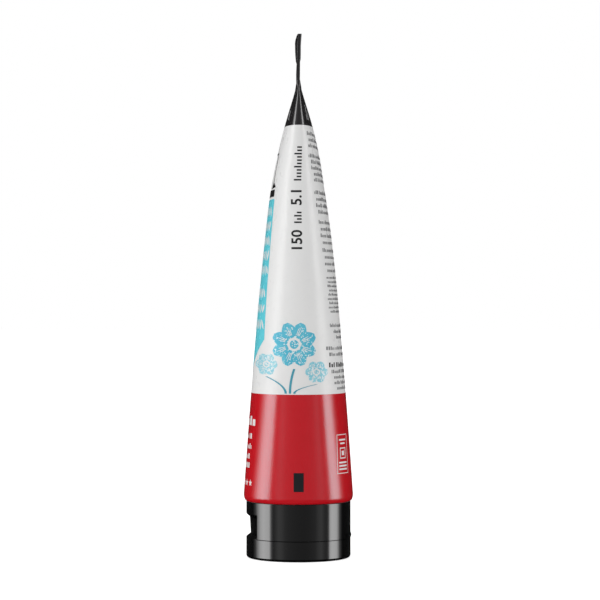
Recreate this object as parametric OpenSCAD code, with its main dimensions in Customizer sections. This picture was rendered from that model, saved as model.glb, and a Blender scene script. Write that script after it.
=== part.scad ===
// Squeeze tube of printing ink, standing on its closed flip-top cap.
// X runs along the welded seal, -Y is the printed front, +Z is up.
// The origin is the centre of the lid's flat end. All lengths are millimetres.

/* [Sleeve] */
// Height from the flat end of the lid to the trimmed end of the seal
tube_h = 188; // [160:1:220]
// Outer diameter of the sleeve where it is round
sleeve_d = 40; // [34:1:48]
// Thickness of the sleeve's plastic
sleeve_wall = 0.5; // [0.3:0.05:0.7]
// Height of the flat end
seal_h = 15.6; // [12:0.2:20]
// Height of the welded band at the top of the flat end
weld_h = 8; // [4:0.2:10]
// How much farther the welded band stands out on each face
weld_swell = 0.2; // [0:0.05:0.3]
// How far the middle of the flat end bows to the front at its top
seal_bow = 1.2; // [0:0.1:2.5]
// How far below the flat end the bow starts
bow_reach = 8; // [4:1:12]
// How far the top of the flat end leans to the back
seal_lean = 0.3; // [0:0.1:1.5]
// Height over which the sleeve rounds in towards the cap
rim_round_h = 2.4; // [1.5:0.1:4]
// Power of the sleeve's thinning from round to flat
taper_power = 0.52; // [0.4:0.01:0.8]
// Share of the sleeve's height that pinches in to the seal
pinch_share = 0.07; // [0.03:0.01:0.2]
// Power of the pinch at the seal
pinch_power = 0.95; // [0.7:0.05:1.5]
// How much blunter than an ellipse the flattened sleeve's side folds are
fold_bluntness = 0.7; // [0:0.1:1.2]

/* [Cap] */
// Height of the closed cap, lid and base together
cap_h = 20.7; // [18:0.1:26]
// How far the cap stands in from the sleeve, on the radius
cap_inset = 0.9; // [0.5:0.1:2]
// Thickness of the cap's outer walls
cap_wall = 1.1; // [0.8:0.1:1.5]
// Height of the lid, up to the seam
lid_h = 7.25; // [6.5:0.05:8]
// Thickness of the lid's flat end
lid_end = 1.2; // [0.8:0.1:1.6]
// Radius of the lid's outer bottom edge
lid_edge_r = 1; // [0.5:0.1:2]
// Width of the seam between lid and base
seam_w = 0.15; // [0.1:0.05:0.3]
// Thickness of the deck that closes the base
deck_t = 1.3; // [1:0.1:1.8]
// How far the deck's middle steps down into the lid
land_h = 0.85; // [0.5:0.05:1.2]
// Clearance between the lid and the parts of the base inside it
lid_gap = 0.3; // [0.2:0.05:0.5]
// Gap between the cap and the sleeve's rim
rim_gap = 0.1; // [0.05:0.05:0.3]

/* [Thumb recess] */
// Depth of the recess at the seam
recess_depth = 1.7; // [1:0.1:2.2]
// How much shallower the recess is at its top
recess_lean = 0.4; // [0:0.1:0.8]
// Height of the recess above the seam
recess_h = 7.6; // [5:0.1:10]
// Height of the slope above the recess
recess_slope_h = 1; // [0.5:0.1:2]
// Half the angle that the recess takes up round the cap
recess_half_angle = 38; // [25:1:50]
// Height of the lid's lip above the seam, at its outer edge
lip_out_h = 0.35; // [0.2:0.05:0.8]
// Height of the lid's lip above the seam, at its inner edge
lip_in_h = 1.4; // [1:0.1:2]

/* [Hinge] */
// Half the angle that the hinge takes up round the cap
hinge_half_angle = 22; // [15:1:28]
// Height of the hinge line above the seam
hinge_rise = 0.95; // [0.7:0.05:1.2]
// How far the hinge line stands outside the cap's wall
hinge_out = 0.1; // [0.05:0.05:0.2]
// Thickness of the hinge strap where it lies in its pocket
strap_t = 0.45; // [0.3:0.05:0.5]
// How far the strap stands out at the hinge line
strap_bulge = 0.33; // [0.2:0.01:0.5]
// How far the strap reaches above and below the hinge line
strap_reach = 0.8; // [0.6:0.05:0.85]

/* [Neck and spout] */
// Outer diameter of the tube's neck
neck_d = 16; // [14:0.5:18]
// Thickness of the shoulder and the neck
head_wall = 1.2; // [1:0.1:1.5]
// Height of the head's skirt inside the round sleeve
head_skirt_h = 3; // [2:0.5:5]
// Rise of the shoulder from the neck to the rim
shoulder_rise = 3.6; // [2.5:0.1:4]
// How far the snap bead stands out of the neck
bead = 0.35; // [0.2:0.05:0.5]
// Clearance between pieces that are pushed together
fit_gap = 0.1; // [0.05:0.05:0.2]
// Diameter of the spout's hole
orifice_d = 3.2; // [2.5:0.1:4]
// Height of the spout below the deck's middle
spout_h = 2.8; // [2.4:0.1:3.2]
// Thickness of the spout's wall at its tip
spout_wall = 1.1; // [0.8:0.1:1.5]
// How far the lid's plug reaches into the spout
plug_h = 1.8; // [1:0.1:2]
// How much thinner the plug is at its tip, on the radius
plug_taper = 0.3; // [0.25:0.05:0.4]

/* [Contents] */
// Height of the ink's surface, as a share of the way from the cap to the seal
fill_share = 0.95; // [0.5:0.05:0.95]

/* [Print] */
// Height of the red band above the cap
band_h = 39.5; // [30:0.5:45]
// How far the black end reaches below the seal
end_h = 14.9; // [10:0.1:25]
// Half the width of the front panel at its bottom
panel_half_w = 15.6; // [10:0.2:16]
// How much farther the panel reaches on each side at its top
panel_flare = 2.6; // [0:0.2:4]
// Height of the front panel at its sides
panel_h = 50.4; // [35:0.2:52]
// Height of the panel's lower corners above the red band
panel_rise = 19.6; // [14:0.2:24]
// How far the middle of the panel points down below its corners
panel_point = 12.4; // [0:0.2:14]
// Height of the drawn roller on top of the panel
roller_h = 2.5; // [2:0.1:5]
// Height of the drawn frame that joins the roller to its handle
frame_h = 12.7; // [6:0.1:14]
// Width of the drawn frame's lines
frame_w = 0.7; // [0.5:0.1:1.5]
// Half the width of the drawn handle
handle_half_w = 3.2; // [2:0.2:6]
// Height of the drawn handle, above the frame
handle_h = 8; // [4:0.5:9]
// Radius of the big flower on the side
big_flower_r = 8; // [5:0.1:9]
// Radius of the two small flowers beside it
small_flower_r = 4; // [2.5:0.1:5]
// Height of the big flower's middle above the red band
big_flower_h = 18; // [14:0.5:24]
// Place of the big flower's middle, towards the back
big_flower_y = -1.5; // [-4:0.5:4]
// Width of the eye mark
eye_w = 3.4; // [2:0.1:5]
// Height of the eye mark
eye_h = 6.8; // [4:0.1:9]
// Height of the eye mark's middle above the cap
eye_rise = 8; // [7:0.1:13]
// Thickness of the printed film
print_t = 0.12; // [0.08:0.01:0.15]
// Gap under the printed film
print_gap = 0.06; // [0.04:0.01:0.1]

/* [Hidden] */
$fn = 96;

SIDES = 48;              // points round the sleeve
INK_SIDES = 24;          // points round the contents
CUT = 1;                 // how far a cut runs past what it cuts
FRONT = 270;             // direction of the printed front, in degrees
BACK = 90;               // direction of the hinge, in degrees
FLAT_SHARE = PI / 2 - sqrt(2);
FLAT_POWER = 1.16;       // with FLAT_SHARE, keeps the sleeve's girth while it flattens
WELD_FILM = 0.05;        // half the plastic that stays between the walls at the weld
FLAT_POWER_RISE = 9;     // how much blunter the outline is at the flat end than below it
FLAT_BLEND = 0.02;       // share of the sleeve's height over which it gets that blunt
RIM_STEPS = 3;
BAND_STEPS = 4;
BODY_STEPS = 9;
END_STEPS = 5;
NECK_STEPS = 2;
WELD_STEPS = 2;

// Sleeve
sleeve_r = sleeve_d / 2;
rim_z = cap_h + rim_gap;
round_z = rim_z + rim_round_h;
seal_z = tube_h - seal_h;
weld_z = tube_h - weld_h;
weld_ramp = 0.6;         // height over which the sleeve thickens to the welded band
tip = sleeve_wall + WELD_FILM;

// Cap
cap_r = sleeve_r - cap_inset;
wall_r = cap_r - cap_wall;
ledge_z = lid_h + seam_w;
land_z = ledge_z - land_h;
deck_z = land_z + deck_t;
step_z = ledge_z + deck_t;
recess_r = cap_r - recess_depth;
backing_r = recess_r - cap_wall;
recess_z = ledge_z + recess_h;
lip_r = recess_r + lid_gap;
side_play = 1.2;         // angle between the lip and the recess's ends
lip_half_angle = recess_half_angle - side_play;
backing_half_angle = recess_half_angle + 3;

// Hinge
hinge_y = cap_r + hinge_out;
hinge_z = lid_h + hinge_rise;
ear_z = hinge_z - seam_w;
notch_z = hinge_z + seam_w;
notch_half_angle = hinge_half_angle + side_play;
notch_r = wall_r - lid_gap;
pocket_gap = 0.05;
pocket_r = cap_r - strap_t - pocket_gap;

// Neck and spout
neck_gap = 0.3;          // between the neck's end and the deck
neck_r = neck_d / 2;
neck_z = deck_z + neck_gap;
bore_r = neck_r - head_wall;
collar_r = neck_r + fit_gap;
collar_wall = 1.6;
collar_h = 6.5;
bead_z = deck_z + collar_h / 2;
bead_h = 1.2;
orifice_r = orifice_d / 2;
spout_z = land_z - spout_h;
spout_foot = 1.6;        // how far the spout flares at the deck
spout_edge = 0.5;
spout_root_r = orifice_r + spout_wall + spout_foot;
plug_z = spout_z + plug_h;
plug_r = orifice_r - lid_gap;
post_r = orifice_r + 0.6;    // of the post that carries the plug
head_r = sleeve_r - sleeve_wall - fit_gap;
head_z = round_z + head_skirt_h;
shoulder_z = rim_z + fit_gap;

// Contents
ink_gap = 0.15;
ink_z = round_z + fill_share * (seal_z - round_z);

// Print
band_z = rim_z + band_h;
end_z = seal_z - end_h;
eye_z = rim_z + eye_rise;
panel_z0 = band_z + panel_rise;
panel_z1 = panel_z0 + panel_h;
roller_gap = 0.9;        // between the panel and the drawn roller
roller_z0 = panel_z1 + roller_gap;
roller_z1 = roller_z0 + roller_h;
frame_z = roller_z1 + frame_h;
roller_half_w = panel_half_w + panel_flare;
frame_inset = 3.4;       // how far the frame's arms stand in from the roller's ends

// Flowers
heart_share = 0.2;       // radius of a flower's middle, as a share of the flower
petal_start = 0.3;       // where the petals begin, as a share of the flower
petal_fill = 0.8;        // width of the petals, as a share of the room for them
tip_turn = 20;           // how round the petals' ends are: 0 comes to a point
big_petals = 8;
small_petals = 6;
left_share = [1.25, 0.6];    // place of the left small flower, in big radii and heights
right_share = [1, 0.45];     // place of the right small flower, in big radii and heights
stem_start = 1.1;        // where a stem ends below a flower, as a share of the flower
stem_spread = 1.5;       // distance between the stems at the red band
stem_w = 0.8;
stem_gap = 0.4;

// Share of the way from the seal down to where the sleeve is round
function share(z) = max(0, (seal_z - z) / (seal_z - round_z));

// How far the rounded rim stands in at height z
function rim_inset(z) =
    let (u = min(1, max(0, (round_z - z) / rim_round_h)))
    cap_inset * (1 - sqrt(1 - u * u));

// How far the welded band stands out at height z
function swell(z) = weld_swell * min(1, max(0, (z - weld_z) / weld_ramp));

// Half the sleeve's depth, front to back
function half_depth(z) =
    z <= round_z ? sleeve_r - rim_inset(z)
    : tip + swell(z) + (sleeve_r - tip) * pow(share(z), taper_power)
      * (1 - exp(-pow(share(z) / pinch_share, pinch_power)));

// Half the sleeve's width along X, from a girth that stays the same
function half_width(z) =
    let (t = (half_depth(z) - swell(z)) / sleeve_r)
    z <= round_z ? half_depth(z)
    : sleeve_r * (sqrt(2 - t * t) + FLAT_SHARE * pow(1 - t, FLAT_POWER));

// Power of the sleeve's oval outline: 2 is an ellipse, more is blunter
function oval_power(z) =
    z <= round_z ? 2 : 2 + fold_bluntness * (1 - half_depth(z) / sleeve_r);

// The same with the flat end, which is nearly as thick at its ends as in its middle
function outline_power(z) = oval_power(z) + FLAT_POWER_RISE * max(0, 1 - share(z) / FLAT_BLEND);

// How far the flat end stands to the back at a place along it
function sway(x, z) =
    let (u = max(0, (z - seal_z) / seal_h),
         w = max(0, (z - seal_z + bow_reach) / (seal_h + bow_reach)))
    seal_lean * u * u - seal_bow * w * cos(90 * min(1, abs(x) / half_width(z)));

function signed_power(v, p) = sign(v) * pow(abs(v), p);

// Reach of the oval outline across, at a distance along
function oval_reach(along, a, b, n) = b * pow(max(0, 1 - pow(abs(along) / a, n)), 1 / n);

// Point of the sleeve in direction t at height z, moved out by `out`
function sleeve_point(t, z, out) =
    let (a = half_width(z) + out,
         x = a * signed_power(cos(t), 2 / oval_power(z)),
         y = sign(sin(t)) * oval_reach(x, a, half_depth(z) + out, outline_power(z)))
    [x, y + sway(x, z), z];

// Point of the sleeve's front at x, and of its +X side at y
function front_point(x, z, out) =
    [x, -oval_reach(x, half_width(z) + out, half_depth(z) + out, outline_power(z)), z];
function side_point(y, z, out) =
    [oval_reach(y, half_depth(z) + out, half_width(z) + out, outline_power(z)), y, z];

// Closed ring of the sleeve at height z
function ring(z, out, sides) = [for (i = [0 : sides - 1]) sleeve_point(360 * i / sides, z, out)];
function round_ring(r, z, sides) =
    [for (i = [0 : sides - 1]) [r * cos(360 * i / sides), r * sin(360 * i / sides), z]];

// Heights between the levels, with a number of steps for each stretch
function heights(levels, steps) =
    [for (i = [0 : len(steps) - 1])
        for (j = [0 : steps[i] - 1]) levels[i] + (levels[i + 1] - levels[i]) * j / steps[i],
     levels[len(steps)]];
function backwards(list) = [for (i = [len(list) - 1 : -1 : 0]) list[i]];
function tail(list) = [for (i = [1 : len(list) - 1]) list[i]];

// Skin over a stack of rings: flat ends, or joined last to first where it loops
module stack(rings, loops = false) {
    n = len(rings[0]);
    m = len(rings);
    points = [for (r = rings) each r];
    sides = [for (i = [0 : m - (loops ? 1 : 2)])
        for (j = [0 : n - 1])
            let (k = (j + 1) % n, up = (i + 1) % m)
            each [[i * n + j, up * n + j, up * n + k], [i * n + j, up * n + k, i * n + k]]];
    ends = loops ? [] : [[for (j = [0 : n - 1]) j], [for (j = [n - 1 : -1 : 0]) (m - 1) * n + j]];
    polyhedron(points, concat(sides, ends));
}

// Printed film right round the sleeve, over a list of heights
module film_band(zs) {
    inside = [for (z = backwards(zs)) ring(z, print_gap, SIDES)];
    outside = [for (z = zs) ring(z, print_gap + print_t, SIDES)];
    stack(concat(inside, outside), loops = true);
}

// Printed film over a patch: at(u, v, out) gives its points, u and v from 0 to 1.
// Seen from outside, u runs to the right and v runs up.
module film_patch(nu, nv, at) {
    row = nv + 1;
    count = (nu + 1) * row;
    points = [for (out = [print_gap, print_gap + print_t])
        for (i = [0 : nu])
            for (j = [0 : nv]) at(i / nu, j / nv, out)];
    cells = [for (i = [0 : nu - 1]) for (j = [0 : nv - 1]) i * row + j];
    inner = [for (p = cells) each [[p, p + row, p + row + 1], [p, p + row + 1, p + 1]]];
    outer = [for (f = inner) [f[2] + count, f[1] + count, f[0] + count]];
    rim = concat([for (i = [0 : nu - 1]) i * row],
                 [for (j = [0 : nv - 1]) nu * row + j],
                 [for (i = [nu : -1 : 1]) i * row + nv],
                 [for (j = [nv : -1 : 1]) j]);
    edge = [for (k = [0 : len(rim) - 1])
        let (p = rim[k], q = rim[(k + 1) % len(rim)])
        each [[q, p, p + count], [q, p + count, q + count]]];
    polyhedron(points, concat(inner, outer, edge));
}

// Part of a turned shape: a profile of radius and height, swept round a direction
module sector(direction, half_angle, profile) {
    rotate_extrude(angle = 2 * half_angle, start = direction - half_angle) polygon(profile);
}

body_heights = heights([rim_z, round_z, band_z, end_z, seal_z],
                       [RIM_STEPS, BAND_STEPS, BODY_STEPS, END_STEPS]);
flat_heights = heights([seal_z, weld_z, weld_z + weld_ramp, tube_h], [NECK_STEPS, 1, WELD_STEPS]);
end_heights = concat(heights([end_z, seal_z], [END_STEPS]), tail(flat_heights));

// Thin shell, open at the cap and welded solid at the seal
module sleeve() {
    inside = [for (z = backwards(body_heights)) ring(z, -sleeve_wall, SIDES)];
    outside = [for (z = concat(body_heights, tail(flat_heights))) ring(z, 0, SIDES)];
    color("whitesmoke") stack(concat(inside, outside));
}

// Shoulder and neck, with the bead that the cap snaps over
module tube_head() {
    slope_r = cap_r - sleeve_wall - fit_gap;
    top_r = half_depth(head_z) - sleeve_wall - fit_gap;
    color("ivory")
        rotate_extrude()
            polygon([
                [top_r, head_z],
                [head_r, round_z],
                [slope_r, shoulder_z],
                [neck_r, shoulder_z - shoulder_rise],
                [neck_r, bead_z + bead_h / 2],
                [neck_r + bead, bead_z],
                [neck_r, bead_z - bead_h / 2],
                [neck_r, neck_z],
                [bore_r, neck_z],
                [bore_r, shoulder_z - shoulder_rise + head_wall],
                [head_r - head_wall, round_z],
                [top_r - head_wall, head_z]
            ]);
}

// Ink that fills the neck, the shoulder and most of the sleeve
module ink() {
    core_r = bore_r - ink_gap;
    core_z = shoulder_z - shoulder_rise + head_wall + ink_gap;
    top_r = half_depth(head_z) - sleeve_wall - fit_gap - head_wall - ink_gap;
    low = [
        round_ring(core_r, neck_z, INK_SIDES),
        round_ring(core_r, core_z, INK_SIDES),
        round_ring(top_r, round_z + ink_gap, INK_SIDES),
        round_ring(top_r, head_z + ink_gap, INK_SIDES)
    ];
    high = [for (z = heights([head_z + 2 * ink_gap, ink_z], [BODY_STEPS]))
        ring(z, -sleeve_wall - 2 * ink_gap, INK_SIDES)];
    color("firebrick") stack(concat(low, high));
}

// Skirt, deck, collar and spout, turned as one profile
module base_turning() {
    rotate_extrude()
        polygon([
            [orifice_r, spout_z],
            [orifice_r + spout_wall - spout_edge, spout_z],
            [orifice_r + spout_wall, spout_z + spout_edge],
            [orifice_r + spout_wall, land_z - spout_edge],
            [spout_root_r, land_z],
            [recess_r, land_z],
            [recess_r, ledge_z],
            [cap_r, ledge_z],
            [cap_r, cap_h],
            [wall_r, cap_h],
            [wall_r, step_z],
            [backing_r, step_z],
            [backing_r, deck_z],
            [collar_r + collar_wall, deck_z],
            [collar_r + collar_wall, deck_z + collar_h],
            [collar_r, deck_z + collar_h],
            [collar_r, bead_z + bead_h / 2],
            [collar_r + bead, bead_z],
            [collar_r, bead_z - bead_h / 2],
            [collar_r, deck_z],
            [orifice_r, deck_z]
        ]);
}

// Fixed half of the cap, with the thumb recess in front and the hinge notch behind
module cap_base() {
    backing_z = recess_z + recess_slope_h + cap_wall;
    color("#1e1e1f")
        difference() {
            union() {
                base_turning();
                sector(FRONT, backing_half_angle,
                       [[backing_r, step_z - deck_t / 2], [wall_r + cap_wall / 2, step_z - deck_t / 2],
                        [wall_r + cap_wall / 2, backing_z], [wall_r, backing_z],
                        [backing_r, backing_z - cap_wall]]);
            }
            sector(FRONT, recess_half_angle,
                   [[recess_r, ledge_z], [recess_r, ledge_z - CUT], [cap_r + CUT, ledge_z - CUT],
                    [cap_r + CUT, recess_z + recess_slope_h], [cap_r, recess_z + recess_slope_h],
                    [recess_r + recess_lean, recess_z]]);
            sector(BACK, notch_half_angle,
                   [[notch_r, ledge_z - CUT], [cap_r + CUT, ledge_z - CUT],
                    [cap_r + CUT, notch_z], [notch_r, notch_z]]);
            strap_pocket();
        }
}

// Room for the strap in the outer face of the lid and of the base
module strap_pocket() {
    reach = strap_reach + pocket_gap;
    sector(BACK, notch_half_angle,
           [[pocket_r, hinge_z - reach], [cap_r + CUT, hinge_z - reach],
            [cap_r + CUT, hinge_z + reach], [pocket_r, hinge_z + reach]]);
}

// Flip-top lid, with its plug, the lip for the thumb and the ear at the hinge
module cap_lid() {
    color("#1e1e1f")
        difference() {
            union() {
                lid_turning();
                sector(FRONT, lip_half_angle,
                       [[wall_r, lid_h - cap_wall], [cap_r, lid_h - cap_wall],
                        [cap_r, lid_h + lip_out_h], [lip_r, lid_h + lip_in_h],
                        [lip_r, lid_h - cap_wall / 2]]);
                sector(BACK, hinge_half_angle,
                       [[wall_r, lid_h - cap_wall], [cap_r, lid_h - cap_wall],
                        [cap_r, ear_z], [wall_r, ear_z]]);
            }
            strap_pocket();
        }
}

module lid_turning() {
    edge_steps = 6;
    edge = [for (i = [0 : edge_steps])
        let (t = 90 * i / edge_steps)
        [cap_r - lid_edge_r * (1 - sin(t)), lid_edge_r * (1 - cos(t))]];
    rotate_extrude()
        polygon(concat([[0, 0]], edge, [
            [cap_r, lid_h],
            [wall_r, lid_h],
            [wall_r, lid_end + cap_wall],
            [wall_r - cap_wall, lid_end],
            [post_r, lid_end],
            [post_r, spout_z - lid_gap],
            [plug_r, spout_z - lid_gap],
            [plug_r, spout_z],
            [plug_r - plug_taper, plug_z],
            [0, plug_z]
        ]));
}

// Bending strap between lid and base, thickest at the hinge line
module hinge_strap() {
    low = hinge_z - strap_reach;
    high = hinge_z + strap_reach;
    color("#1e1e1f")
        sector(BACK, hinge_half_angle,
               [[cap_r - strap_t, low], [cap_r, low],
                [cap_r + strap_bulge, hinge_z - strap_reach / 4],
                [cap_r + strap_bulge, hinge_z + strap_reach / 4],
                [cap_r, high], [cap_r - strap_t, high]]);
}

// Red band round the sleeve at the cap
module print_red() {
    color("#b4202a")
        film_band(heights([rim_z, round_z, band_z], [RIM_STEPS, BAND_STEPS]));
}

// Black end over the seal, the small eye mark that printing machines read,
// and a hand roller drawn on the front
module print_black() {
    color("#242223") {
        film_band(end_heights);
        eye_mark();
        drawn_roller();
    }
}

// Small dark block on the +X side, printed over the red band
module eye_mark() {
    translate([print_t + print_gap, 0, 0])
        film_patch(3, 2, function(u, v, out)
            side_point((u - 0.5) * eye_w, eye_z + (v - 0.5) * eye_h, out));
}

// Roller, frame and handle, seen flat
module drawn_roller() {
    arm_x = roller_half_w - frame_inset;
    front_block(14, 1, function(v) roller_half_w, roller_z0, roller_z1);
    for (side = [-1, 1])
        front_strip(1, 3, function(u, v) side * arm_x + (u - 0.5) * frame_w, roller_z1, frame_z);
    front_block(12, 1, function(v) arm_x + frame_w / 2, frame_z, frame_z + frame_w);
    front_block(4, 5, function(v) handle_half_w * (0.7 + 0.3 * sin(180 * v)),
                frame_z + frame_w, frame_z + handle_h);
}

// Film on the front between two heights, with x_at(u, v) for its places across
module front_strip(nu, nv, x_at, z0, z1) {
    film_patch(nu, nv, function(u, v, out) front_point(x_at(u, v), z0 + v * (z1 - z0), out));
}

// The same about the middle, with half_w(v) for half its width
module front_block(nu, nv, half_w, z0, z1) {
    front_strip(nu, nv, function(u, v) (2 * u - 1) * half_w(v), z0, z1);
}

// Front panel, and plain round flowers on the +X side
module print_cyan() {
    left = [-left_share.x * big_flower_r, left_share.y * big_flower_h];
    right = [right_share.x * big_flower_r, right_share.y * big_flower_h];
    root = [big_flower_y, band_z];
    color("#5fc3da") {
        panel();
        flower(root + [0, big_flower_h], big_flower_r, big_petals, big_flower_y - stem_spread);
        flower(root + left, small_flower_r, small_petals, big_flower_y - 2 * stem_spread);
        flower(root + right, small_flower_r, small_petals, big_flower_y);
    }
}

// Front panel, which widens upwards and whose bottom edge points down in the middle
module panel() {
    film_patch(12, 8, function(u, v, out)
        let (x = (2 * u - 1) * (panel_half_w + panel_flare * v * v),
             low = panel_z0 - panel_point * (1 - abs(2 * u - 1)))
        front_point(x, low + v * (panel_z1 - low), out));
}

// Round flower on the +X side: its middle, its petals and the stem down to the red band
module flower(middle, r, petals, stem_y) {
    film_patch(3, 3, function(u, v, out)
        let (p = [2 * u - 1, 2 * v - 1],
             round_p = [p.x * sqrt(1 - p.y * p.y / 2), p.y * sqrt(1 - p.x * p.x / 2)],
             q = middle + heart_share * r * round_p)
        side_point(q.x, q.y, out));
    for (k = [0 : petals - 1])
        let (turn = 360 * (k + 0.5) / petals - 90,
             along = [cos(turn), sin(turn)],
             across = [sin(turn), -cos(turn)],
             half_w = petal_fill * r * sin(180 / petals))
        film_patch(2, 3, function(u, v, out)
            let (q = middle + r * (petal_start + v * (1 - petal_start)) * along
                     + half_w * sin(tip_turn + (180 - 2 * tip_turn) * v) * (2 * u - 1) * across)
            side_point(q.x, q.y, out));
    film_patch(1, 5, function(u, v, out)
        let (z0 = band_z + stem_gap,
             z1 = middle.y - stem_start * r,
             y = stem_y + (middle.x - stem_y) * v * v)
        side_point(y + (u - 0.5) * stem_w, z0 + v * (z1 - z0), out));
}

sleeve();
tube_head();
ink();
cap_base();
cap_lid();
hinge_strap();
print_red();
print_black();
print_cyan();
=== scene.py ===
"""Looks of a squeeze tube of printing ink that stands on its flip-top cap.

Lengths are millimetres in the CAD frame until a mesh is made: X runs along the welded seal,
-Y is the printed front and +Z is up. Print is laid out flat: s is the distance round the sleeve
from the middle of its +X side, growing towards the back, and z is the height.
"""

import math

import bmesh
import bpy
import numpy as np
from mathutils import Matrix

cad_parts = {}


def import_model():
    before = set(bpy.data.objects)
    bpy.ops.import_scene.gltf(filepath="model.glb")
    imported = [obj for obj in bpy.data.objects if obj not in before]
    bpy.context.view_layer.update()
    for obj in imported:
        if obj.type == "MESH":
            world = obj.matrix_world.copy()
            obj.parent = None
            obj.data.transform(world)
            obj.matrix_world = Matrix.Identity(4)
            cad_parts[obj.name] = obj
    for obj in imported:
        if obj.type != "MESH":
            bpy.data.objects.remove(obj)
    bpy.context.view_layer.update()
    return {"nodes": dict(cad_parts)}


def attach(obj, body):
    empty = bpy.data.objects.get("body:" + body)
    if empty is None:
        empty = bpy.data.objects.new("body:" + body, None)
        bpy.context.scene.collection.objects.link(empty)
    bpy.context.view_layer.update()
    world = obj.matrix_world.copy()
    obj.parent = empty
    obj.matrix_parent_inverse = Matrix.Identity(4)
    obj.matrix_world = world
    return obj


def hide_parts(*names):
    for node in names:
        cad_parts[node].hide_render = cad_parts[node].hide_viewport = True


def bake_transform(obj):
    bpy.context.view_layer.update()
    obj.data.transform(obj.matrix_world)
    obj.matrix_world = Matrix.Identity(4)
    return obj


MM = 0.001

# Sizes of the CAD model, from part.scad
TUBE_H = 188.0
SLEEVE_R = 20.0
SLEEVE_WALL = 0.5
SEAL_H = 15.6
WELD_H = 8.0
WELD_SWELL = 0.2
WELD_RAMP = 0.6
RIM_ROUND_H = 2.4
RIM_GAP = 0.1
CAP_H = 20.7
CAP_INSET = 0.9
CAP_WALL = 1.1
LID_H = 7.25
LID_END = 1.2
LID_EDGE_R = 1.0
SEAM_W = 0.15
LAND_H = 0.85
DECK_T = 1.3
LID_GAP = 0.3
RECESS_DEPTH = 1.7
RECESS_LEAN = 0.4
RECESS_H = 7.6
RECESS_SLOPE_H = 1.0
RECESS_HALF_ANGLE = 38.0
LIP_OUT_H = 0.35
LIP_IN_H = 1.4
HINGE_HALF_ANGLE = 22.0
HINGE_RISE = 0.95
STRAP_T = 0.45
STRAP_BULGE = 0.33
STRAP_REACH = 0.8
NECK_R = 8.0
FIT_GAP = 0.1
BEAD = 0.35
ORIFICE_R = 1.6
SPOUT_H = 2.8
SPOUT_WALL = 1.1
PLUG_H = 1.8
PLUG_TAPER = 0.3
SIDE_PLAY = 1.2
POCKET_GAP = 0.05
COLLAR_WALL = 1.6
COLLAR_H = 6.5
BEAD_H = 1.2
SPOUT_FOOT = 1.6
BAND_H = 39.5
END_H = 14.9
TAPER_POWER = 0.52
PINCH_SHARE = 0.07
PINCH_POWER = 0.95
FOLD_BLUNTNESS = 0.7
FLAT_POWER = 1.16
FLAT_SHARE = math.pi / 2 - math.sqrt(2)

# What follows from them
TIP = SLEEVE_WALL + 0.05
RIM_Z = CAP_H + RIM_GAP
ROUND_Z = RIM_Z + RIM_ROUND_H
SEAL_Z = TUBE_H - SEAL_H
WELD_Z = TUBE_H - WELD_H
BAND_Z = RIM_Z + BAND_H
END_Z = SEAL_Z - END_H
CAP_R = SLEEVE_R - CAP_INSET
WALL_R = CAP_R - CAP_WALL
LEDGE_Z = LID_H + SEAM_W
LAND_Z = LEDGE_Z - LAND_H
DECK_Z = LAND_Z + DECK_T
STEP_Z = LEDGE_Z + DECK_T
RECESS_R = CAP_R - RECESS_DEPTH
RECESS_Z = LEDGE_Z + RECESS_H
RECESS_TOP_Z = RECESS_Z + RECESS_SLOPE_H
BACKING_R = RECESS_R - CAP_WALL
BACKING_Z = RECESS_TOP_Z + CAP_WALL
LIP_R = RECESS_R + LID_GAP
LIP_HALF_ANGLE = RECESS_HALF_ANGLE - SIDE_PLAY
HINGE_Z = LID_H + HINGE_RISE
EAR_Z = HINGE_Z - SEAM_W
NOTCH_R = WALL_R - LID_GAP
NOTCH_Z = HINGE_Z + SEAM_W
NOTCH_HALF_ANGLE = HINGE_HALF_ANGLE + SIDE_PLAY
POCKET_R = CAP_R - STRAP_T - POCKET_GAP
POCKET_REACH = STRAP_REACH + POCKET_GAP
COLLAR_R = NECK_R + FIT_GAP
SPOUT_R = ORIFICE_R + SPOUT_WALL
SPOUT_ROOT_R = SPOUT_R + SPOUT_FOOT
SPOUT_Z = LAND_Z - SPOUT_H
POST_R = ORIFICE_R + 0.6
PLUG_R = ORIFICE_R - LID_GAP
PLUG_TIP_R = PLUG_R - PLUG_TAPER
PLUG_Z = SPOUT_Z + PLUG_H

# Directions round the tube in degrees, and the flat places of its front and back middle
FRONT = 270.0
BACK = 90.0
GIRTH = 2 * math.pi * SLEEVE_R
FRONT_S = -GIRTH / 4
BACK_S = GIRTH / 4
FAR_S = GIRTH / 2

# The flat end's blunt ends, and how far below the seal they start
FLAT_END_POWER = 9
FLAT_END_SHARE = 0.02


# The sleeve's surface


def seal_share(z):
    """How far below the seal a height is: 0 at the seal, 1 where the sleeve is round."""
    return np.clip((SEAL_Z - z) / (SEAL_Z - ROUND_Z), 0, None)


def thinning(z):
    """Half the sleeve's depth, front to back, without the welded band's swell."""
    share = seal_share(z)
    pinch = 1 - np.exp(-((share / PINCH_SHARE) ** PINCH_POWER))
    taper = TIP + (SLEEVE_R - TIP) * share**TAPER_POWER * pinch
    u = np.clip((ROUND_Z - z) / RIM_ROUND_H, 0, 1)
    return np.where(z <= ROUND_Z, SLEEVE_R - CAP_INSET * (1 - np.sqrt(1 - u * u)), taper)


def half_width(z):
    """Half the sleeve's width along the seal, which keeps its girth the same."""
    t = thinning(z) / SLEEVE_R
    flat = SLEEVE_R * (np.sqrt(2 - t * t) + FLAT_SHARE * np.clip(1 - t, 0, 1) ** FLAT_POWER)
    return np.where(z <= ROUND_Z, thinning(z), flat)


def oval_power(z):
    """2 for a round outline, more where the folds are blunt."""
    return np.where(z <= ROUND_Z, 2.0, 2 + FOLD_BLUNTNESS * (1 - thinning(z) / SLEEVE_R))


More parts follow.
